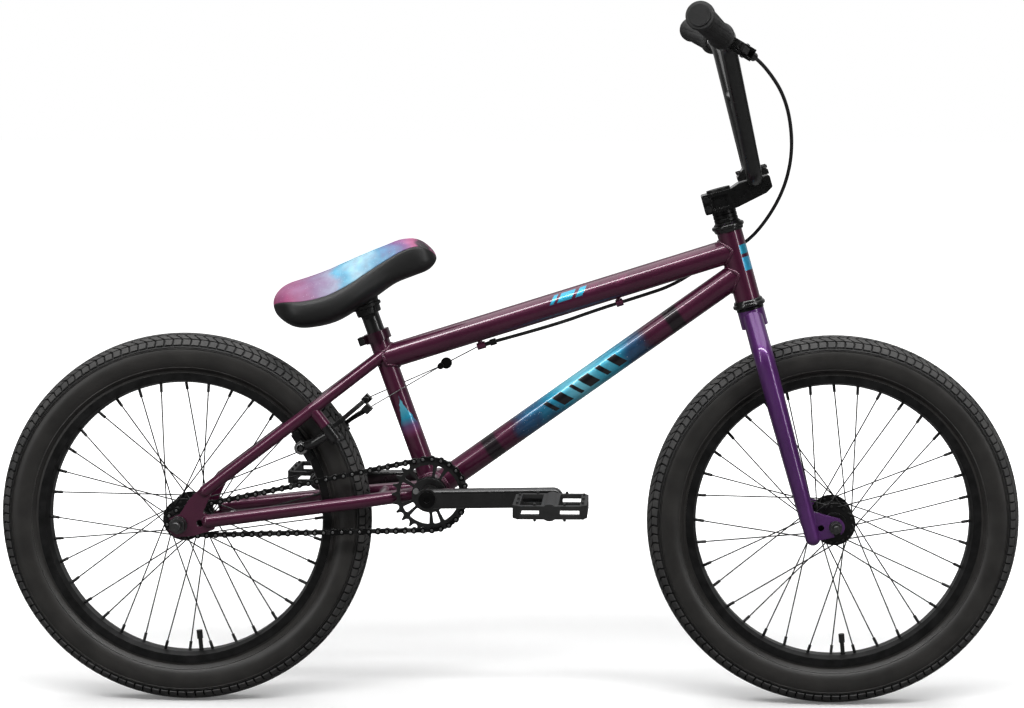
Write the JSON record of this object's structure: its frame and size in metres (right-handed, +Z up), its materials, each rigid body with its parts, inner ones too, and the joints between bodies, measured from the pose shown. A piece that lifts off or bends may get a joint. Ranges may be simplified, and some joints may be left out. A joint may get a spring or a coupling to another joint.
{
  "type": "bmx bicycle",
  "caption": "Freestyle BMX bicycle with 20 inch wheels, single-speed chain drive, rear rim brake and a high-rise handlebar that steers.",
  "frame": {"origin": "on the ground, midway between the wheels, in the middle plane", "axes": "+X forward, +Y to the rider's left, +Z up"},
  "size_m": [1.4478, 0.7344, 0.9822],
  "materials": {
    "frame_paint": "gloss dark plum with fine metallic flake",
    "fork_paint": "gloss violet with fine metallic flake",
    "black_paint": "satin black",
    "black_alloy": "black anodised, satin",
    "steel": "dark plated steel",
    "black_steel": "black oxide steel",
    "chain": "dark oiled steel",
    "tyre": "black rubber, matt",
    "grip": "soft black rubber",
    "black_plastic": "moulded black plastic",
    "seat_cover": "printed vinyl top, black vinyl sides",
    "cable": "black cable housing",
    "pad": "brake shoe rubber"
  },
  "bodies": {
    "frame": {"head_tube": "frame_paint", "top_tube": "frame_paint", "down_tube": "frame_paint", "seat_tube": "frame_paint", "bottom_bracket_shell": "frame_paint", "rear_dropouts": "frame_paint", "chainstays": "frame_paint", "seatstays": "frame_paint", "stay_fittings": "frame_paint", "cable_guides": "frame_paint", "barrel_adjuster": "black_alloy", "headset_cups": "black_alloy", "frame_bearings": "steel", "seat_clamp": "black_alloy", "frame_bolts": "black_steel", "seat_post": "black_alloy", "seat_base": "black_plastic", "seat_cushion": "seat_cover", "rear_axle": "black_steel", "chain_inner_links": "chain", "chain_outer_links": "chain", "cable_housing": "cable"},
    "fork": {"fork_steerer": "fork_paint", "fork_legs": "fork_paint", "fork_dropouts": "fork_paint", "headset_spacers": "black_alloy", "stem": "black_alloy", "stem_bolts": "black_steel", "handlebar": "black_paint", "handlebar_crossbar": "black_paint", "grips": "grip", "bar_end_plugs": "black_plastic", "lever_perch": "black_alloy", "lever_screws": "steel", "front_axle": "black_steel"},
    "front_wheel": {"front_tyre": "tyre", "front_rim": "black_alloy", "front_spokes": "black_steel", "front_hub": "black_alloy", "front_valve": "black_plastic"},
    "rear_wheel": {"rear_tyre": "tyre", "rear_rim": "black_alloy", "rear_spokes": "black_steel", "rear_hub": "black_alloy", "rear_valve": "black_plastic"},
    "driver": {"driver": "steel"},
    "crankset": {"crank_spindle": "steel", "crank_arm_right": "black_paint", "crank_arm_left": "black_paint", "sprocket": "black_paint", "crank_bolts": "steel", "pedal_axles": "steel"},
    "pedal_right": {"pedal_right": "black_plastic"},
    "pedal_left": {"pedal_left": "black_plastic"},
    "brake_lever": {"brake_lever_blade": "black_alloy"},
    "brake_arm_right": {"brake_arm_right": "black_alloy", "brake_pad_right": "pad"},
    "brake_arm_left": {"brake_arm_left": "black_alloy", "brake_pad_left": "pad"},
    "cable_hanger": {"cable_hanger": "steel"}
  },
  "joints": [
    {"name": "steering", "type": "hinge", "parent": "frame", "child": "fork", "pos_m": [0.33733, 0, 0.57869], "axis": [-0.2664, 0, 0.9639], "range_deg": [-90, 90], "deforming": ["cable_housing"]},
    {"name": "front_wheel_spin", "type": "hinge", "parent": "fork", "child": "front_wheel", "pos_m": [0.46, 0, 0.264], "axis": [0, 1, 0], "continuous": true},
    {"name": "rear_wheel_spin", "type": "hinge", "parent": "frame", "child": "rear_wheel", "pos_m": [-0.46, 0, 0.264], "axis": [0, 1, 0], "continuous": true},
    {"name": "crank_spin", "type": "hinge", "parent": "frame", "child": "crankset", "pos_m": [-0.10841, 0, 0.306], "axis": [0, 1, 0], "continuous": true, "deforming": ["chain_inner_links", "chain_outer_links"]},
    {"name": "driver_spin", "type": "hinge", "parent": "frame", "child": "driver", "pos_m": [-0.46, 0, 0.264], "axis": [0, 1, 0], "continuous": true},
    {"name": "pedal_right_spin", "type": "hinge", "parent": "crankset", "child": "pedal_right", "pos_m": [0.06656, -0.086, 0.30905], "axis": [0, 1, 0], "continuous": true},
    {"name": "pedal_left_spin", "type": "hinge", "parent": "crankset", "child": "pedal_left", "pos_m": [-0.28338, 0.086, 0.30295], "axis": [0, 1, 0], "continuous": true},
    {"name": "lever_pull", "type": "hinge", "parent": "fork", "child": "brake_lever", "pos_m": [0.32207, -0.21768, 0.92394], "axis": [0.5101, 0, 0.8601], "range_deg": [0, 18], "stiffness_Nm_per_rad": 1.5, "springref_deg": -8.59},
    {"name": "arm_right_close", "type": "hinge", "parent": "frame", "child": "brake_arm_right", "pos_m": [-0.27242, -0.04528, 0.42624], "axis": [0.607, 0, -0.7947], "range_deg": [0, 2.3]},
    {"name": "arm_left_close", "type": "hinge", "parent": "frame", "child": "brake_arm_left", "pos_m": [-0.27242, 0.04528, 0.42624], "axis": [-0.607, 0, 0.7947], "range_deg": [0, 2.3]},
    {"name": "hanger_pull", "type": "slide", "parent": "frame", "child": "cable_hanger", "axis": [0.8836, 0, 0.4682], "range_m": [0, 0.003]}
  ],
  "couplings": [
    {"joint": "driver_spin", "follows": "crank_spin", "ratio": 2.7778},
    {"joint": "arm_right_close", "follows": "lever_pull", "ratio": 0.12765},
    {"joint": "arm_left_close", "follows": "lever_pull", "ratio": 0.12765},
    {"joint": "hanger_pull", "follows": "lever_pull", "m_per_rad": 0.008913}
  ]
}
